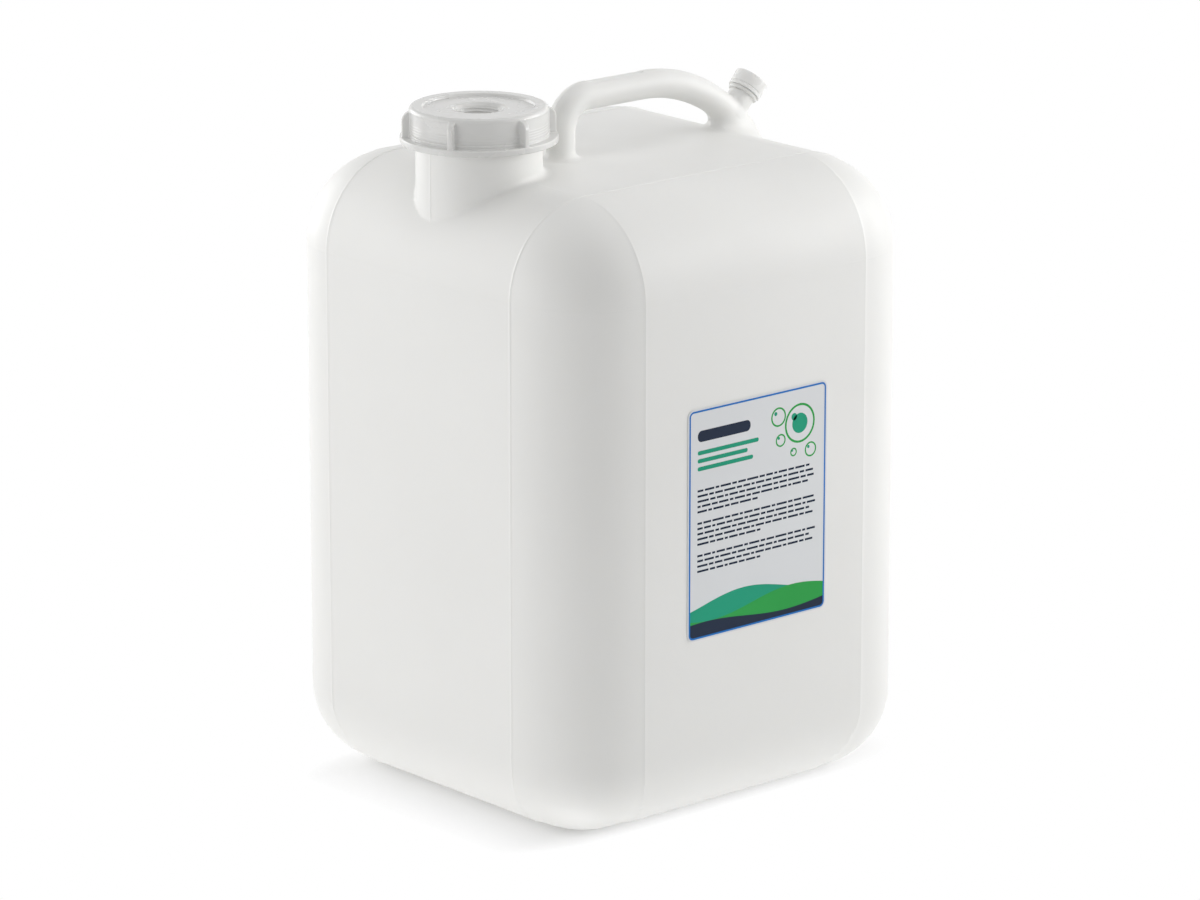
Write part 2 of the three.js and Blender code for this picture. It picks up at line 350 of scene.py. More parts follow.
def vent_place(x, y, z):
    """Distance along the axis of the vent, and distance from that axis."""
    along = (x - arch_x) * math.sin(vent_turn) + (z - arch_z) * math.cos(vent_turn)
    across = (x - arch_x) * math.cos(vent_turn) - (z - arch_z) * math.sin(vent_turn)
    return along, np.hypot(across, y)


def foot(x, y, z, grow):
    """Recess of the base, with sloping sides, grown by a margin."""
    half_x = half_length - edge_radius - foot_band
    half_y = half_width - edge_radius - foot_band
    plan = slab(x, y, -half_x, half_x, -half_y, half_y, foot_corner)
    side = (plan + z) / math.sqrt(2)
    return np.maximum(side, z - foot_recess) - grow


def outside(x, y, z):
    """Outside of the bottle, with its neck, handle and vent neck."""
    plan = slab(x, y, -half_length, half_length, -half_width, half_width, corner_radius)
    body = block(plan, z, body_height, foot_radius, edge_radius)
    drift = np.clip(1 - z / foot_radius, 0, 1) ** 2
    past_x = np.abs(x) - half_length + edge_radius + crease_drift[0] * drift
    past_y = np.abs(y) - half_width + edge_radius + crease_drift[1] * drift
    crown = np.clip((z - body_height) / crown_reach + 1, 0, 1)
    inner_width = crease_rise * (1 - crown) + crease_width * crown
    ridge = bead(past_y, np.where(past_y < 0, inner_width, crease_width))
    ridge = np.maximum(ridge, side_crease_share * bead(past_x, crease_width))
    ridge = np.maximum(ridge, level_crease_share * bead(z - body_height + edge_radius, crease_width))
    groove = crown * groove_share * bead(past_y + groove_offset, crease_width)
    body = body - crease_height * (1 + crown_gain * crown) * (ridge - groove)
    from_end = 1 - np.exp(-np.maximum(past_y, 0) / end_fade)
    from_side = 1 - np.exp(-np.maximum(past_x, 0) / side_fade)
    body = body + corner_recess * from_end * from_side
    body = cut(body, foot(x, y, z, 0), foot_round)
    pinch_end = half_length - edge_radius - foot_band
    pinch = bead(y, pinch_width) * np.clip((pinch_end - np.abs(x)) / pinch_fade, 0, 1)
    body = body - pinch_height * pinch * (z < edge_radius / 2)
    parting = parting_height * bead(y, parting_width)
    reach = np.hypot(x - neck_x, y)
    neck = slab(reach, z, -neck_radius, neck_radius, body_height - edge_radius, lip_z, lip_round)
    neck = neck - parting * (z < cap_bottom)
    tube = handle(x, y, z, grip_radius, grip_flat)
    along, off = vent_place(x, y, z)
    vent = slab(off, along, -vent_neck_radius, vent_neck_radius, arch_radius, vent_collar + vent_overlap)
    tube = join(tube, vent, vent_fillet) - parting / 2
    fillet = np.interp(x, (arch_x, gap_end, gap_end + gap_fillet_run), (post_fillet, gap_fillet, arch_fillet))
    whole = join(body, tube, fillet)
    around = np.interp(x, (neck_x - neck_radius, neck_x + neck_radius), (neck_fillet_outer, neck_fillet))
    return join(whole, neck, around)


def cavity(x, y, z):
    """Inside of the bottle, with its bores run out past the lips."""
    half = (half_length - wall, half_width - wall, body_height / 2 - wall)
    body = rounded_box(x, y, z - body_height / 2, half, edge_radius - wall)
    body = np.maximum(body, -foot(x, y, z, wall))
    reach = np.hypot(x - neck_x, y)
    neck = slab(reach, z, -neck_bore, neck_bore, body_height - edge_radius, lip_z + 2 * wall)
    tube = handle(x, y, z, grip_radius - grip_wall, grip_flat)
    along, off = vent_place(x, y, z)
    vent = slab(off, along, -vent_bore, vent_bore, arch_radius, vent_lip + wall)
    whole = np.minimum(body, np.minimum(tube, vent))
    return join(whole, neck, wall)


def cap_form(x, y, z):
    """Main cap with the thread of its socket, and without the one that holds it on the neck."""
    reach = np.hypot(x - neck_x, y)
    puck = slab(reach, z, -cap_radius, cap_radius, cap_bottom - 2 * rim_round, cap_top, rim_round)
    fine_lines = bead(z - cap_top + rim_round, line_width)
    fine_lines += bead(reach - cap_radius + rim_round, line_width) * (z > cap_top - rim_round)
    for i in range(line_count):
        fine_lines += bead(z - flange_top - line_first - i * line_pitch, line_width)
    puck = puck - line_height * fine_lines
    pocket_side = rim_inner + (z - cap_top) / 2
    pocket = np.maximum(reach - pocket_side, plate_top - z)
    form = cut(puck, pocket, small_fillet)
    form = form - line_height * bead(reach - recess_radius - recess_chamfer - recess_ring, line_width)
    hollow = np.maximum(reach - skirt_radius, z - plate_bottom)
    form = cut(form, hollow, small_fillet / 2)
    ring = slab(reach, z, skirt_radius + small_fillet, cap_radius + foot_ring, cap_bottom,
                flange_top + foot_ring_height, foot_ring / 2)
    flange = slab(reach, z, skirt_radius + small_fillet / 2, flange_radius, cap_bottom, flange_top,
                  flange_round)
    form = join(join(form, ring, foot_ring_fillet), flange, small_fillet)
    angle = np.arctan2(y, x - neck_x) - lug_turn
    sector = TURN / lug_count
    angle = np.mod(angle + sector / 2, sector) - sector / 2
    out = reach * np.cos(angle)
    lug_tip = cap_radius + lug_reach
    side = np.abs(reach * np.sin(angle)) - lug_width / 2 - lug_draft * (lug_tip - out)
    lug_top = cap_top - rim_round
    lug = slab(out, z, 0, lug_tip, cap_bottom - cap_radius, lug_top, lug_shoulder)
    lug = cut(lug, -side, lug_round)
    lug = np.maximum(lug, np.maximum(cap_radius - small_fillet - reach, flange_top - lug_sink - z))
    form = join(form, lug, lug_fillet)
    boss = slab(reach, z, -boss_radius, boss_radius, boss_bottom, plate_top, small_fillet / 2)
    form = join(form, boss, small_fillet)
    wall_top = plate_top - recess_chamfer
    screw = z - recess_floor - recess_pitch * np.arctan2(y, x - neck_x) / TURN
    thread = bead(np.mod(screw, recess_pitch) - recess_pitch / 2, recess_thread_width)
    thread = thread * np.clip(wall_top - z, 0, 1) * np.clip(z - recess_floor, 0, 1)
    socket_side = reach - recess_radius - recess_taper * (z - wall_top) + recess_thread * thread
    cone = (reach - recess_radius - recess_chamfer + plate_top - z) / math.sqrt(2)
    socket = np.maximum(np.minimum(socket_side, cone), recess_floor - z)
    form = cut(form, socket, small_fillet / 2)
    return np.maximum(form, cap_bottom - z)


# Meshes

CORNERS = list(itertools.product((0, 1), repeat=3))
EDGES = [(a, b) for a in CORNERS for b in CORNERS
         if sum(b) - sum(a) == 1 and np.abs(np.subtract(a, b)).sum() == 1]
grading = 0.42


def lines(low, high, coarse, bands):
    """Grid lines a coarse step apart, closer together in bands of (centre, half width, step)."""
    places = [low]
    while places[-1] < high:
        here = places[-1]
        step = coarse
        for centre, half, fine in bands:
            step = min(step, fine + grading * max(0.0, abs(here - centre) - half))
        places.append(here + step)
    return np.array(places)


def slope(form, points, reach=0.004):
    """Gradient of a form at points."""
    columns = []
    for axis in np.eye(3):
        ahead = form(*(points + reach * axis).T)
        behind = form(*(points - reach * axis).T)
        columns.append((ahead - behind) / (2 * reach))
    return np.stack(columns, 1)


def settle(form, points, most=0.8, rounds=5, least=0.05):
    """Moves points along the gradient onto the surface of a form."""
    for _ in range(rounds):
        gradient = slope(form, points)
        step = (form(*points.T) / np.maximum((gradient ** 2).sum(1), least))[:, None] * gradient
        length = np.linalg.norm(step, axis=1, keepdims=True)
        points = points - step * np.minimum(1, most / np.maximum(length, 1e-9))
    return points


def net(form, axes, place=None):
    """Quads of the surface of a form, with one vertex in each grid cell that the surface crosses.
    Place turns grid values into points, and its first axis is then an angle that closes on itself."""
    axes = list(axes)
    if place:
        axes[0] = np.concatenate([[axes[0][-1] - TURN], axes[0], [axes[0][0] + TURN]])
    size = np.array([len(axis) for axis in axes])
    grid = np.meshgrid(*axes, indexing="ij")
    values = form(*(place(*grid) if place else grid))
    inside = values < 0
    count = np.zeros(size - 1, int)
    for corner in CORNERS:
        count += inside[tuple(slice(c, c + n - 1) for c, n in zip(corner, size))]
    active = (count > 0) & (count < len(CORNERS))
    if place:
        active[0] = False
    cells = np.argwhere(active)
    total = np.zeros(cells.shape)
    hits = np.zeros(len(cells))
    for first, second in EDGES:
        start = cells + first
        end = cells + second
        low = values[tuple(start.T)]
        high = values[tuple(end.T)]
        crossed = (low < 0) != (high < 0)
        share = np.where(crossed, low / np.where(crossed, low - high, 1), 0)[:, None]
        start_point = np.stack([axes[i][start[:, i]] for i in range(3)], 1)
        end_point = np.stack([axes[i][end[:, i]] for i in range(3)], 1)
        total += crossed[:, None] * (start_point + share * (end_point - start_point))
        hits += crossed
    points = total / hits[:, None]
    if place:
        points = np.stack(place(*points.T), 1)
    number = np.full(active.shape, -1)
    number[active] = np.arange(len(cells))
    if place:
        number[0] = number[-1]
    quads = []
    for axis in range(3):
        second, third = (axis + 1) % 3, (axis + 2) % 3
        low = np.take(inside, range(size[axis] - 1), axis)
        high = np.take(inside, range(1, size[axis]), axis)
        at = np.argwhere(low != high)
        kept = np.ones(len(at), bool)
        for other in (second, third):
            kept &= (at[:, other] > 0) & (at[:, other] < size[other] - 1)
        if place and axis == 0:
            kept &= at[:, 0] > 0
        at = at[kept]
        quad = []
        for back_second, back_third in ((0, 0), (1, 0), (1, 1), (0, 1)):
            cell = at.copy()
            cell[:, second] -= back_second
            cell[:, third] -= back_third
            quad.append(number[tuple(cell.T)])
        quad = np.stack(quad, 1)
        leaving = low[tuple(at.T)]
        quads.append(np.where(leaving[:, None], quad, quad[:, ::-1]))
    return settle(form, points), np.concatenate(quads)


def piece(name, points, faces, matrix=None):
    """Object of a mesh in millimetres, with smooth faces. Rings left open round an axis are closed."""
    mesh = bpy.data.meshes.new(name)
    mesh.from_pydata((np.asarray(points) * MM).tolist(), [], [list(map(int, face)) for face in faces])
    work = bmesh.new()
    work.from_mesh(mesh)
    open_edges = [edge for edge in work.edges if edge.is_boundary]
    if open_edges:
        bmesh.ops.holes_fill(work, edges=open_edges)
    work.to_mesh(mesh)
    work.free()
    if matrix:
        mesh.transform(matrix)
    mesh.shade_smooth()
    made = bpy.data.objects.new(name, mesh)
    bpy.context.scene.collection.objects.link(made)
    return made


def combine(target, tool, operation):
    """Joins a closed mesh to another or cuts it away, and removes the tool."""
    change = target.modifiers.new("combine", "BOOLEAN")
    change.object = tool
    change.operation = operation
    change.solver = "MANIFOLD"
    graph = bpy.context.evaluated_depsgraph_get()
    mesh = bpy.data.meshes.new_from_object(target.evaluated_get(graph))
    target.modifiers.clear()
    target.data = mesh
    bpy.data.objects.remove(tool)
    return target


def soften(corners, steps=5):
    """Outline of (radius, height, fillet) corners, with each fillet as an arc."""
    outline = []
    for i, (radius, height, fillet) in enumerate(corners):
        here = np.array([radius, height])
        if not fillet:
            outline.append(here)
            continue
        back = np.array(corners[i - 1][:2]) - here
        ahead = np.array(corners[(i + 1) % len(corners)][:2]) - here
        back = back / np.linalg.norm(back)
        ahead = ahead / np.linalg.norm(ahead)
        half = math.acos(np.clip(back @ ahead, -1, 1)) / 2
        centre = here + (back + ahead) / np.linalg.norm(back + ahead) * fillet / math.sin(half)
        start = here + back * fillet / math.tan(half) - centre
        end = here + ahead * fillet / math.tan(half) - centre
        span = math.pi - 2 * half
        for share in np.linspace(0, 1, steps + 1):
            mixed = math.sin((1 - share) * span) * start + math.sin(share * span) * end
            outline.append(centre + mixed / math.sin(span))
    return outline


def turned(name, corners, sides, matrix=None):
    """Object of an outline turned round the Z axis.
    The outline runs from the axis to the axis, or is a loop."""
    outline = soften(corners)
    points = []
    rings = []
    for radius, height in outline:
        copies = 1 if radius < 1e-6 else sides
        rings.append(np.arange(len(points), len(points) + copies))
        for angle in np.arange(copies) * TURN / sides:
            points.append((radius * math.cos(angle), radius * math.sin(angle), height))
    if len(rings[0]) > 1:
        rings.append(rings[0])
    faces = []
    for low, high in zip(rings, rings[1:]):
        if len(low) == len(high) == 1:
            continue
        for i in range(sides):
            near, far = i % sides, (i + 1) % sides
            face = [low[near % len(low)], low[far % len(low)], high[far % len(high)], high[near % len(high)]]
            faces.append(list(dict.fromkeys(face)))
    return piece(name, points, faces, matrix)


def helix(name, radius, thread, pitch, start, matrix, steps_a_turn=72):
    """Object of a screw thread on a round wall. It fades over a twelfth of a turn at each end."""
    reach, width, turns = thread
    count = int(turns * steps_a_turn)
    fade = steps_a_turn / 12
    root = radius - math.copysign(small_fillet, reach)
    points = []
    for i in range(count + 1):
        angle = i * TURN / steps_a_turn
        height = start + pitch * i / steps_a_turn
        share = min(1, i / fade, (count - i) / fade)
        crest = radius + reach * share + math.copysign(least_crest, reach)
        section = [(root, -width / 2), (radius, -width / 2), (crest, -width / 4),
                   (crest, width / 4), (radius, width / 2), (root, width / 2)]
        for distance, rise in section:
            points.append((distance * math.cos(angle), distance * math.sin(angle), height + rise))
    sides = len(section)
    faces = []
    for i in range(count):
        for k in range(sides):
            near, far = i * sides + k, i * sides + (k + 1) % sides
            face = [near, far, far + sides, near + sides]
            faces.append(face if reach < 0 else face[::-1])
    ends = [list(range(sides)), list(range(count * sides, (count + 1) * sides))[::-1]]
    faces += ends if reach > 0 else [end[::-1] for end in ends]
    return piece(name, points, faces, matrix)


def ease(made):
    """Merges the faces of flat areas."""
    work = bmesh.new()
    work.from_mesh(made.data)
    bmesh.ops.dissolve_limit(work, angle_limit=flat_angle, verts=work.verts, edges=work.edges)
    work.to_mesh(made.data)
    work.free()


def exact_normals(made, form, near=0.02, alike=0.9):
    """Gives the corners that lie on the surface of a form that form's own normals."""
    mesh = made.data
    mesh.set_sharp_from_angle(angle=sharp_angle)
    points = np.zeros(len(mesh.vertices) * 3)
    mesh.vertices.foreach_get("co", points)
    points = points.reshape(-1, 3) / MM
    on_form = np.abs(form(*points.T)) < near
    normals = slope(form, points)
    normals /= np.maximum(np.linalg.norm(normals, axis=1, keepdims=True), 1e-9)
    corner_vertex = np.zeros(len(mesh.loops), int)
    mesh.loops.foreach_get("vertex_index", corner_vertex)
    current = np.zeros(len(mesh.loops) * 3)
    mesh.corner_normals.foreach_get("vector", current)
    current = current.reshape(-1, 3)
    wanted = normals[corner_vertex]
    agrees = on_form[corner_vertex] & ((wanted * current).sum(1) > alike)
    mesh.normals_split_custom_set(np.where(agrees[:, None], wanted, current).tolist())


# Materials: scales are in features a metre

drift_scale = 9
patch_scale = 38
skin_scale = 900
patch_spread = 0.05
skin_strength = 0.6


def ramp(nodes, links, source, low, high, start=0.35, end=0.65):
    """Socket with a factor's middle range spread over two values."""
    node = nodes.new("ShaderNodeMapRange")
    node.inputs["From Min"].default_value = start
    node.inputs["From Max"].default_value = end
    node.inputs["To Min"].default_value = low
    node.inputs["To Max"].default_value = high
    links.new(source, node.inputs["Value"])
    return node.outputs["Result"]


def noise(nodes, links, scale, detail=3.0, stretch=(1, 1, 1)):
    """Socket with a noise in the object's own metres."""
    place = nodes.new("ShaderNodeTexCoord")
    mapping = nodes.new("ShaderNodeMapping")
    mapping.inputs["Scale"].default_value = stretch
    texture = nodes.new("ShaderNodeTexNoise")
    texture.inputs["Scale"].default_value = scale
    texture.inputs["Detail"].default_value = detail
    links.new(place.outputs["Object"], mapping.inputs["Vector"])
    links.new(mapping.outputs["Vector"], texture.inputs["Vector"])
    return texture.outputs["Fac"]


def moulded(name, pale, deep, roughness, grain, scatter=None, stretch=(1, 1, 1), drawn=(1, 1, 1),
            gloss=0.5):
    """Plastic with a slow drift of tone, a patchy gloss and a fine skin.
    Grain is the depth of the skin in millimetres. Scatter is the share of the light that goes into the
    plastic, and how far. Stretch draws out the drift and drawn the skin, along the axes with a low value."""
    made = bpy.data.materials.new(name)
    made.use_nodes = True
    nodes, links = made.node_tree.nodes, made.node_tree.links
    shader = nodes["Principled BSDF"]
    tone = nodes.new("ShaderNodeMix")
    tone.data_type = "RGBA"
    tone.inputs["A"].default_value = (*pale, 1)
    tone.inputs["B"].default_value = (*deep, 1)
    drift = ramp(nodes, links, noise(nodes, links, drift_scale, 2, stretch), 0, 1)
    links.new(drift, tone.inputs["Factor"])
    links.new(tone.outputs["Result"], shader.inputs["Base Color"])
    patches = noise(nodes, links, patch_scale, 4, stretch)
    patches = ramp(nodes, links, patches, roughness - patch_spread, roughness + patch_spread)
    links.new(patches, shader.inputs["Roughness"])
    skin = nodes.new("ShaderNodeBump")
    skin.inputs["Strength"].default_value = skin_strength
    skin.inputs["Distance"].default_value = grain * MM
    links.new(noise(nodes, links, skin_scale, 2, drawn), skin.inputs["Height"])
    links.new(skin.outputs["Normal"], shader.inputs["Normal"])
    shader.inputs["IOR"].default_value = 1.5
    shader.inputs["Specular IOR Level"].default_value = gloss
    if scatter:
        shader.inputs["Subsurface Weight"].default_value = scatter[0]
        shader.inputs["Subsurface Radius"].default_value = (1.0, 0.96, 0.9)
        shader.inputs["Subsurface Scale"].default_value = scatter[1] * MM
    return made


def dress(made, material):
    """Gives a piece one material."""
    made.data.materials.clear()
    made.data.materials.append(material)
    return made


natural = moulded("natural_polyethylene", (0.83, 0.828, 0.81), (0.818, 0.816, 0.798), 0.44, 0.02,
                  scatter=(0.35, 1.2))
# The main cap's plastic is set darker than the body's and the vent cap's, as painted shade on its front wall.
cap_shaded_plastic = moulded("cap_polyethylene_painted_shade", (0.70, 0.698, 0.684), (0.685, 0.683, 0.669), 0.25, 0.03,
                    scatter=(0.4, 1.5), drawn=(0.02, 0.02, 1), gloss=0.7)
vent_white = moulded("vent_polyethylene", (0.84, 0.838, 0.822), (0.825, 0.823, 0.807), 0.28, 0.02,
                     scatter=(0.4, 1.5), gloss=0.7)
foam = moulded("seal_foam", (0.84, 0.84, 0.82), (0.76, 0.76, 0.74), 0.8, 0.08)
film = moulded("label_film", (0.71, 0.725, 0.74), (0.695, 0.71, 0.725), 0.34, 0.004)
pearl = moulded("soap_pearl", (0.78, 0.80, 0.80), (0.70, 0.73, 0.74), 0.2, 0.004, stretch=(1, 1, 0.3))


# Bottle

def bottle_lines():
    """Grid lines for the outside of the bottle, close together at its ridges, neck, handle and base."""
    crease_x = half_length - edge_radius
    crease_y = half_width - edge_radius
    foot_x = crease_x - foot_band - foot_recess / 2
    foot_y = crease_y - foot_band - foot_recess / 2
    half_edge = edge_radius / 2
    neck_reach = neck_radius + neck_fillet
    crease = 2 * crease_width
    margin = 1.3
    coarse = 8.0
    coarse_up = 14.0
    curve = 2.6
    round_neck = 2.2
    fine = 0.4
    x_bands = [(neck_x, neck_reach, round_neck), (neck_x - 27, 9, 1.1), (post_x, 12, 1.5),
               (post_x + post_bend, 14, 1.7), (arch_x + 40, 60, 3.2), (arch_x + 72, 18, 1.8)]
    y_bands = [(0, 2 * parting_width, fine), (0, grip_radius + 4, 1.4), (0, neck_reach, round_neck)]
    z_bands = [(1, 4, 0.8), (half_edge, half_edge, curve), (body_height - edge_radius, crease, 0.5),
               (body_height - half_edge, half_edge, 3.0), (body_height + 18, 22, 1.9),
               (lip_z, lip_round, fine)]
    for side in (-1, 1):
        x_bands += [(side * crease_x, crease, fine), (side * (crease_x + half_edge), half_edge, curve),
                    (side * foot_x, foot_recess, 1.0)]
        y_bands += [(side * crease_y, crease, fine), (side * (crease_y + half_edge), half_edge, curve),
                    (side * foot_y, foot_recess, 1.0)]
    return [lines(-half_length - margin, half_length + margin, coarse, x_bands),
            lines(-half_width - margin, half_width + margin, coarse, y_bands),
            lines(-margin, bottle_high[2] + margin, coarse_up, z_bands)]


def hollow_lines():
    """Grid lines for the inside of the bottle, which only shows down the neck."""
    half_edge = edge_radius / 2
    low = 0.9
    coarse = 12.0
    coarse_up = 20.0
    curve = 5.0
    round_neck = 4.0
    tube = 2.5
    x_bands = [(neck_x, neck_radius, round_neck), (post_x + 10, 22, tube), (arch_x + 40, 60, 4.0)]
    y_bands = [(0, grip_radius, 2.2), (0, neck_radius, round_neck)]
    z_bands = [(wall + foot_recess / 2, foot_recess, 1.3), (body_height + 16, 26, tube),
               (half_edge, half_edge, curve), (body_height - half_edge, half_edge, round_neck)]
    for side in (-1, 1):
        x_bands.append((side * (half_length - half_edge), half_edge, curve))
        y_bands.append((side * (half_width - half_edge), half_edge, curve))
    return [lines(-half_length, half_length, coarse, x_bands),
            lines(-half_width, half_width, coarse, y_bands),
            lines(low, bottle_high[2] + 2 * wall, coarse_up, z_bands)]


vent_matrix = Matrix.Translation(Vector((arch_x, 0, arch_z)) * MM) @ Matrix.Rotation(vent_turn, 4, "Y")
neck_matrix = Matrix.Translation(Vector((neck_x, 0, 0)) * MM)


def make_bottle():
    """Shell with its vent finish and threads joined on, and the hollow cut out of it."""
    made = piece("bottle_shell", *net(outside, bottle_lines()))
    plug_bottom = vent_collar - 2
    plug_radius = vent_neck_radius - 0.8
    collar_bottom = vent_collar - 0.1
    finish = turned("vent_finish", [
        (0, plug_bottom, 0),
        (plug_radius, plug_bottom, 0),
        (plug_radius, collar_bottom, 0),
        (vent_collar_radius, collar_bottom, 0.6),
        (vent_collar_radius, vent_collar_top, 0.35),
        (vent_finish_radius, vent_collar_top, 0.2),
        (vent_finish_radius, vent_lip, 0.4),
        (0, vent_lip, 0),
    ], 96, vent_matrix)
    combine(made, finish, "UNION")
    combine(made, helix("vent_thread", vent_finish_radius, vent_thread, vent_pitch, vent_thread_start,
                        vent_matrix), "UNION")
    combine(made, helix("neck_thread", neck_radius, neck_thread, cap_pitch, neck_thread_start,
                        neck_matrix, 120), "UNION")
    combine(made, piece("hollow", *net(cavity, hollow_lines())), "DIFFERENCE")
    ease(made)
    exact_normals(made, outside)
    dress(made, natural)
    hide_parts("bottle")
    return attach(made, "bottle")


# Caps and seals

def make_main_cap():
    """Moulding on a round grid, close together at the lugs, and the thread inside its skirt."""
    lug_places = [lug_turn % TURN + i * TURN / lug_count for i in range(-lug_count, lug_count + 1)]
    half_lug = (lug_width / 2 + small_fillet) / cap_radius
    fine_turn = math.radians(0.4)
    angles = lines(0, TURN, math.radians(2.6), [(place, half_lug, fine_turn) for place in lug_places])
    angles = angles[angles < TURN - fine_turn / 2]
    margin = 0.7
    fine = 0.3
    middle_line = flange_top + line_first + (line_count - 1) / 2 * line_pitch
    middle_recess = (plate_top + recess_floor) / 2
    heights = lines(cap_bottom - margin, cap_top + margin, 0.9, [
        (cap_bottom, 0.8, fine), (flange_top + 0.8, 1.4, fine), (plate_bottom, 0.5, fine),
        (cap_top - 1.2, 1.9, fine), (middle_line, 2 * line_pitch, fine),
        (middle_recess, recess_depth / 2, fine), (boss_bottom, 0.8, 0.4)])
    round_step = 0.35
    reaches = lines(0.8, flange_radius + 1, 3.0, [
        (recess_radius - 0.5, 2.9, round_step), (boss_radius + 0.6, 0.9, round_step),
        (rim_inner - 0.4, 0.9, round_step), (cap_radius - 1, 1.8, round_step),
        (cap_radius + lug_reach, 0.4, round_step), (flange_radius, 0.5, fine)])

    def place(angle, height, reach):
        return neck_x + reach * np.cos(angle), reach * np.sin(angle), height

    made = piece("main_cap_moulding", *net(cap_form, (angles, heights, reaches), place))
    combine(made, helix("cap_thread", skirt_radius, cap_thread, cap_pitch, cap_thread_start,
                        neck_matrix, 120), "UNION")
    ease(made)
    exact_normals(made, cap_form)
    dress(made, cap_shaded_plastic)
    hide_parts("main_cap")
    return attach(made, "main_cap")


def make_vent_cap():
    """Turned moulding with a groove, a flared crown and a dished top, and the thread inside it."""
    groove_radius = vent_cap_radius - vent_groove_depth
    rim_radius = vent_cap_radius - vent_rim
    dish = vent_cap_top - vent_dish
    made = turned("vent_cap_moulding", [
        (0, vent_plate, 0),
        (vent_skirt, vent_plate, 0.3),
        (vent_skirt, vent_cap_bottom, 0.25),
        (vent_cap_radius, vent_cap_bottom, 0.35),
        (vent_cap_radius, vent_groove, 0.15),
        (groove_radius, vent_groove + 0.2, 0.1),
        (groove_radius, vent_groove + 0.5, 0.1),
        (vent_cap_radius, vent_groove + 0.7, 0.15),
        (vent_crown_radius, vent_cap_top, vent_crown_round),
        (rim_radius, vent_cap_top, 0.3),
        (rim_radius - vent_dish, dish, 0.3),
        (0, dish, 0),
    ], 128, vent_matrix)
    combine(made, helix("vent_cap_thread", vent_skirt, vent_cap_thread, vent_pitch, vent_cap_thread_start,
                        vent_matrix), "UNION")
    made.data.set_sharp_from_angle(angle=sharp_angle)
    dress(made, vent_white)
    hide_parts("vent_cap")
    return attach(made, "vent_cap")


make_bottle()
make_main_cap()
make_vent_cap()
dress(frame["nodes"]["cap_gasket"], foam)
dress(frame["nodes"]["vent_cap_liner"], foam)
dress(frame["nodes"]["soap_fill"], pearl)
dress(frame["nodes"]["label"], film)


# Label print: a border, waves along the foot, a cluster of suds, heading bars and lines of short strokes

def rounded_outline(low_u, high_u, low_v, high_v, radius, steps=8):
    """Rectangle with round corners. U runs along the label and v up it, from its middle."""
    outline = []
    centres = ((high_u - radius, low_v + radius), (high_u - radius, high_v - radius),
               (low_u + radius, high_v - radius), (low_u + radius, low_v + radius))
    for quarter, (u, v) in enumerate(centres):
        for i in range(steps + 1):
            angle = (quarter - 1 + i / steps) * math.pi / 2
            outline.append((u + radius * math.cos(angle), v + radius * math.sin(angle)))
    return outline


def circle_outline(u, v, radius, sides=48):
    angles = [i * TURN / sides for i in range(sides)]
    return [(u + radius * math.cos(angle), v + radius * math.sin(angle)) for angle in angles]


def ring_shape(u, v, radius, line):
    """Outer and inner outline of a ring with a line of the given width."""
    return [circle_outline(u, v, radius), circle_outline(u, v, radius - line)]


def wave_outline(half_u, foot_v, radius, wave, steps=48, corner_steps=8, swell=2.6):
    """Field between the foot of the label and a wave, given by its mean height, its swing and its phase."""
    mean, swing, phase = wave
    outline = []
    for centre, first in ((-half_u + radius, math.pi), (half_u - radius, 1.5 * math.pi)):
        for i in range(corner_steps + 1):
            angle = first + i / corner_steps * math.pi / 2
            outline.append((centre + radius * math.cos(angle), foot_v + radius + radius * math.sin(angle)))
    for i in range(steps + 1):
        u = half_u * (1 - 2 * i / steps)
        outline.append((u, foot_v + mean + swing * math.sin(phase + swell * u / half_u)))
    return outline


def stroke_block(left, right, top, rows, first_word):
    """Rows of short strokes, set like a paragraph with a short last row."""
    words = (4.2, 6.8, 2.6, 7.4, 3.3, 5.5, 8.1, 3.8, 4.9, 2.2, 6.1)
    space = 1.0
    height = 1.15
    pitch = 2.9
    last_row = 0.55
    shapes = []
    word = first_word
    for row in range(rows):
        u = left
        v = top - row * pitch
        end = right if row < rows - 1 else left + last_row * (right - left)
        while u + words[word % len(words)] < end:
            length = words[word % len(words)]
            shapes.append([[(u, v - height), (u + length, v - height), (u + length, v), (u, v)]])
            u += length + space
            word += 1
    return shapes


def ink(name, shapes, material, layer):
    """Thin solid of print on the label. Each shape is one outline, or an outer and an inner one."""
    back = label_front + ink_thickness
    front = label_front - ink_thickness * layer
    points = []
    faces = []
    for loops in shapes:
        count = len(loops[0])
        rings = []
        for loop in loops:
            for depth in (back, front):
                rings.append(np.arange(len(points), len(points) + count))
                points += [(label_x + u, depth, label_z + v) for u, v in loop]
        for i in range(count):
            j = (i + 1) % count
            faces.append([rings[0][i], rings[0][j], rings[1][j], rings[1][i]])
            if len(loops) == 2:
                faces.append([rings[2][j], rings[2][i], rings[3][i], rings[3][j]])
                faces.append([rings[1][i], rings[1][j], rings[3][j], rings[3][i]])
                faces.append([rings[0][j], rings[0][i], rings[2][i], rings[2][j]])
        if len(loops) == 1:
            faces.append(rings[1])
            faces.append(rings[0][::-1])
    made = piece(name, points, faces)
    made.data.shade_flat()
    dress(made, material)
    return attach(made, "bottle")


def ink_paint(name, pale, deep):
    """Printing ink, which is smoother than the plastic and less glossy."""
    return moulded(name, pale, deep, 0.36, 0.004, gloss=0.2)


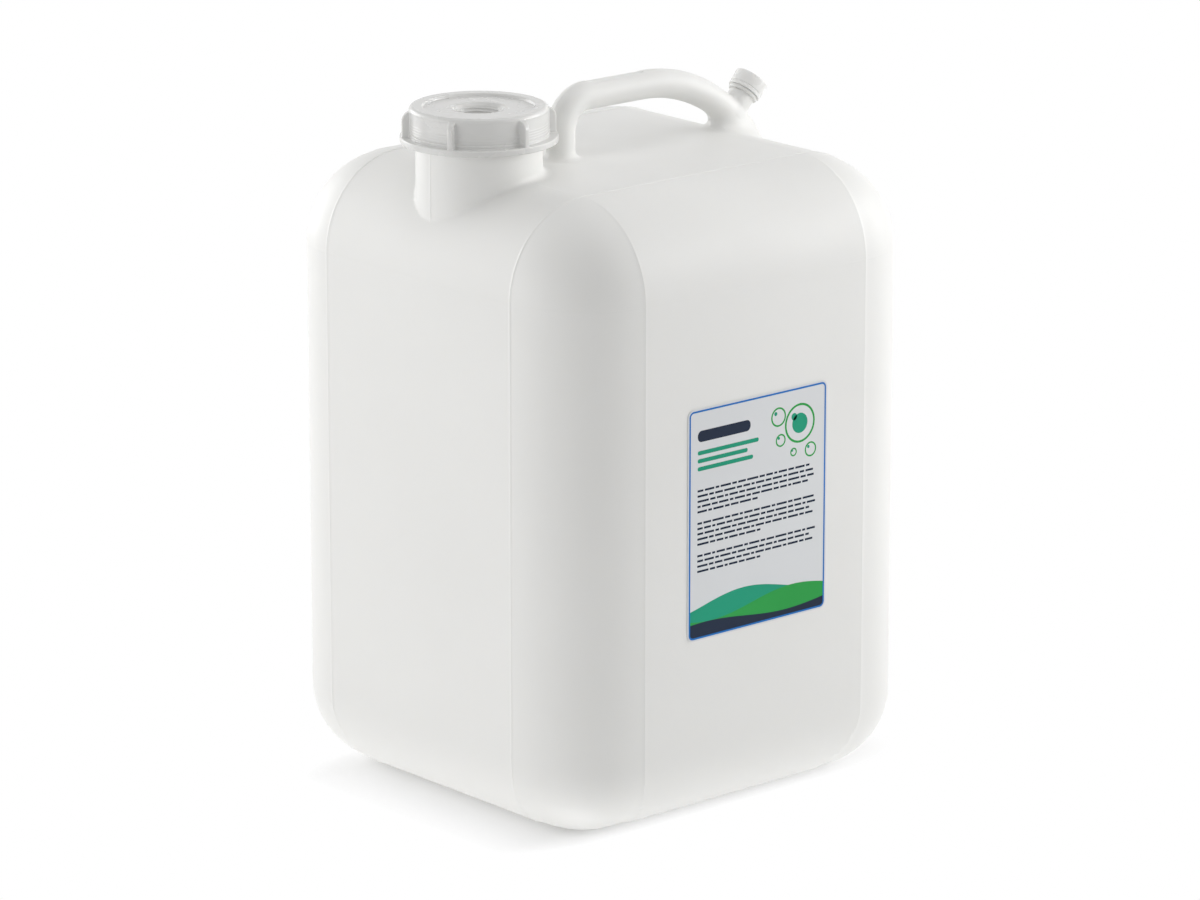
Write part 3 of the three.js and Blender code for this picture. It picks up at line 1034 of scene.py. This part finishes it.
def make_print():
    """All the print, with sizes and places on the label in millimetres from its middle."""
    edge = 0.9
    line = 1.0
    half_u = label_width / 2 - edge
    half_v = label_height / 2 - edge
    radius = label_corner - edge
    border = [rounded_outline(-half_u, half_u, -half_v, half_v, radius),
              rounded_outline(-half_u + line, half_u - line, -half_v + line, half_v - line, radius - line)]
    ink("print_border", [border], ink_paint("ink_blue", (0.012, 0.17, 0.55), (0.01, 0.155, 0.51)), 3)
    inner = half_u - line
    foot_v = -half_v + line
    dark = ink_paint("ink_navy", (0.008, 0.02, 0.05), (0.006, 0.016, 0.042))
    green = ink_paint("ink_green", (0.025, 0.36, 0.07), (0.02, 0.33, 0.06))
    teal = ink_paint("ink_teal", (0.01, 0.34, 0.20), (0.008, 0.31, 0.18))
    ink("print_far_wave", [[wave_outline(inner, foot_v, radius - line, (17, 4.6, 2.1))]], teal, 1)
    ink("print_near_wave", [[wave_outline(inner, foot_v, radius - line, (12, 4.2, 0.2))]], green, 2)
    ink("print_dark_wave", [[wave_outline(inner, foot_v, radius - line, (5.4, 2.4, 3.6))]], dark, 3)
    suds = [(30.5, 43.5, 11.0), (14.8, 49.5, 5.4), (16.5, 36.2, 3.6), (38.5, 27.5, 4.2), (26.0, 28.0, 2.4)]
    rings = [ring_shape(u, v, size, 0.7 + 0.05 * size) for u, v, size in suds]
    ink("print_suds", rings, green, 1)
    offset = 0.38
    shine = []
    for u, v, size in suds:
        shine.append([circle_outline(u - offset * size, v + offset * size, 0.16 * size + 0.25)])
    core_radius = 5.6
    shine.append([circle_outline(*suds[0][:2], core_radius)])
    ink("print_shine", shine, teal, 1)
    margin = 5.0
    left = -inner + margin
    right = inner - margin
    bars = [(52.0, 38.0, 6.2), (41.0, 44.0, 2.3), (36.6, 36.0, 2.3), (32.2, 40.0, 2.3)]
    heading = [[rounded_outline(left, left + size, v - tall, v, 0.45 * tall)] for v, size, tall in bars]
    ink("print_heading", heading[:1], dark, 1)
    ink("print_subheads", heading[1:], teal, 1)
    strokes = []
    for top, rows, first_word in ((19.5, 5, 0), (1.5, 5, 4), (-16.5, 4, 7)):
        strokes += stroke_block(left, right, top, rows, first_word)
    ink("print_strokes", strokes, dark, 1)


make_print()


# Studio

def aim(made, target):
    """Turns a camera or a lamp towards a point."""
    made.rotation_mode = "QUATERNION"
    made.rotation_quaternion = (Vector(target) - made.location).to_track_quat("-Z", "Y")


def make_camera():
    """Camera at the fitted view of the photograph."""
    lens = bpy.data.cameras.new("camera")
    lens.sensor_width = view_sensor
    lens.lens = view_focal
    lens.clip_end = 100
    made = bpy.data.objects.new("camera", lens)
    bpy.context.scene.collection.objects.link(made)
    level = math.cos(view_elevation)
    back = Vector((math.sin(view_azimuth) * level, -math.cos(view_azimuth) * level, math.sin(view_elevation)))
    target = Vector((0, 0, view_height)) * MM
    made.location = target + back * view_distance * MM
    aim(made, target)
    bpy.context.scene.camera = made


def make_light(name, azimuth, elevation, distance, width, height, power, target=(0, 0, view_height),
               spread=180):
    """Soft panel that faces a target, from a direction given as for the camera."""
    lamp = bpy.data.lights.new(name, "AREA")
    lamp.shape = "RECTANGLE"
    lamp.size = width
    lamp.size_y = height
    lamp.energy = power
    lamp.spread = math.radians(spread)
    made = bpy.data.objects.new(name, lamp)
    bpy.context.scene.collection.objects.link(made)
    turn, rise = math.radians(azimuth), math.radians(elevation)
    level = math.cos(rise) * distance
    target = Vector(target) * MM
    away = Vector((math.sin(turn) * level, -math.cos(turn) * level, math.sin(rise) * distance))
    made.location = target + away
    aim(made, target)
    made.visible_camera = False
    return made


def make_table():
    """Soft light at floor level, as of a lit table, that lifts the undersides."""
    made = make_light(*table_light, spread=table_spread)
    made.location = table_place
    made.rotation_quaternion = Vector((0, 0, 1)).to_track_quat("-Z", "Y")


def seen_rays(nodes, links):
    """Socket that is 1 for rays that show the background: straight, mirrored or through a clear piece."""
    path = nodes.new("ShaderNodeLightPath")
    socket = path.outputs["Is Camera Ray"]
    for name in ("Is Glossy Ray", "Is Transmission Ray"):
        either = nodes.new("ShaderNodeMath")
        either.operation = "MAXIMUM"
        links.new(socket, either.inputs[0])
        links.new(path.outputs[name], either.inputs[1])
        socket = either.outputs[0]
    return socket


def make_world():
    """Plain white background that lights the object at a lower strength."""
    world = bpy.data.worlds.new("studio")
    bpy.context.scene.world = world
    world.use_nodes = True
    nodes, links = world.node_tree.nodes, world.node_tree.links
    fill = nodes["Background"]
    fill.inputs["Color"].default_value = (1, 1, 1, 1)
    fill.inputs["Strength"].default_value = fill_strength
    plain = nodes.new("ShaderNodeBackground")
    plain.inputs["Color"].default_value = (1, 1, 1, 1)
    mix = nodes.new("ShaderNodeMixShader")
    links.new(seen_rays(nodes, links), mix.inputs["Fac"])
    links.new(fill.outputs[0], mix.inputs[1])
    links.new(plain.outputs[0], mix.inputs[2])
    links.new(mix.outputs[0], nodes["World Output"].inputs["Surface"])


def make_floor():
    """White floor that keeps the shadow beside the foot and turns all white further out."""
    reach = floor_reach
    mesh = bpy.data.meshes.new("floor")
    corners = [(-reach, -reach, 0), (reach, -reach, 0), (reach, reach, 0), (-reach, reach, 0)]
    mesh.from_pydata(corners, [], [(0, 1, 2, 3)])
    made = bpy.data.objects.new("floor", mesh)
    bpy.context.scene.collection.objects.link(made)
    paint = bpy.data.materials.new("floor_white")
    paint.use_nodes = True
    nodes, links = paint.node_tree.nodes, paint.node_tree.links
    shader = nodes["Principled BSDF"]
    shader.inputs["Base Color"].default_value = (0.9, 0.9, 0.9, 1)
    shader.inputs["Roughness"].default_value = 0.9
    white = nodes.new("ShaderNodeEmission")
    core = ((half_length - edge_radius) * MM, (half_width - edge_radius) * MM, 0)
    socket = nodes.new("ShaderNodeNewGeometry").outputs["Position"]
    steps = (("ABSOLUTE", None), ("SUBTRACT", core), ("MAXIMUM", (0, 0, 0)), ("MULTIPLY", floor_stretch),
             ("LENGTH", None))
    for operation, other in steps:
        step = nodes.new("ShaderNodeVectorMath")
        step.operation = operation
        links.new(socket, step.inputs[0])
        if other:
            step.inputs[1].default_value = other
        socket = step.outputs["Value" if operation == "LENGTH" else "Vector"]
    lift = ramp(nodes, links, socket, floor_lift, 1, floor_near * MM, floor_far * MM)
    share = nodes.new("ShaderNodeMath")
    share.operation = "MULTIPLY"
    links.new(seen_rays(nodes, links), share.inputs[0])
    links.new(lift, share.inputs[1])
    mix = nodes.new("ShaderNodeMixShader")
    links.new(share.outputs[0], mix.inputs["Fac"])
    links.new(shader.outputs[0], mix.inputs[1])
    links.new(white.outputs[0], mix.inputs[2])
    links.new(mix.outputs[0], nodes["Material Output"].inputs["Surface"])
    made.data.materials.append(paint)


make_camera()
make_world()
make_floor()
for panel in panels:
    make_light(*panel)
make_light(*cap_spot, cap_spot_target, cap_spot_spread)
make_table()
bpy.context.scene.view_settings.view_transform = "Standard"
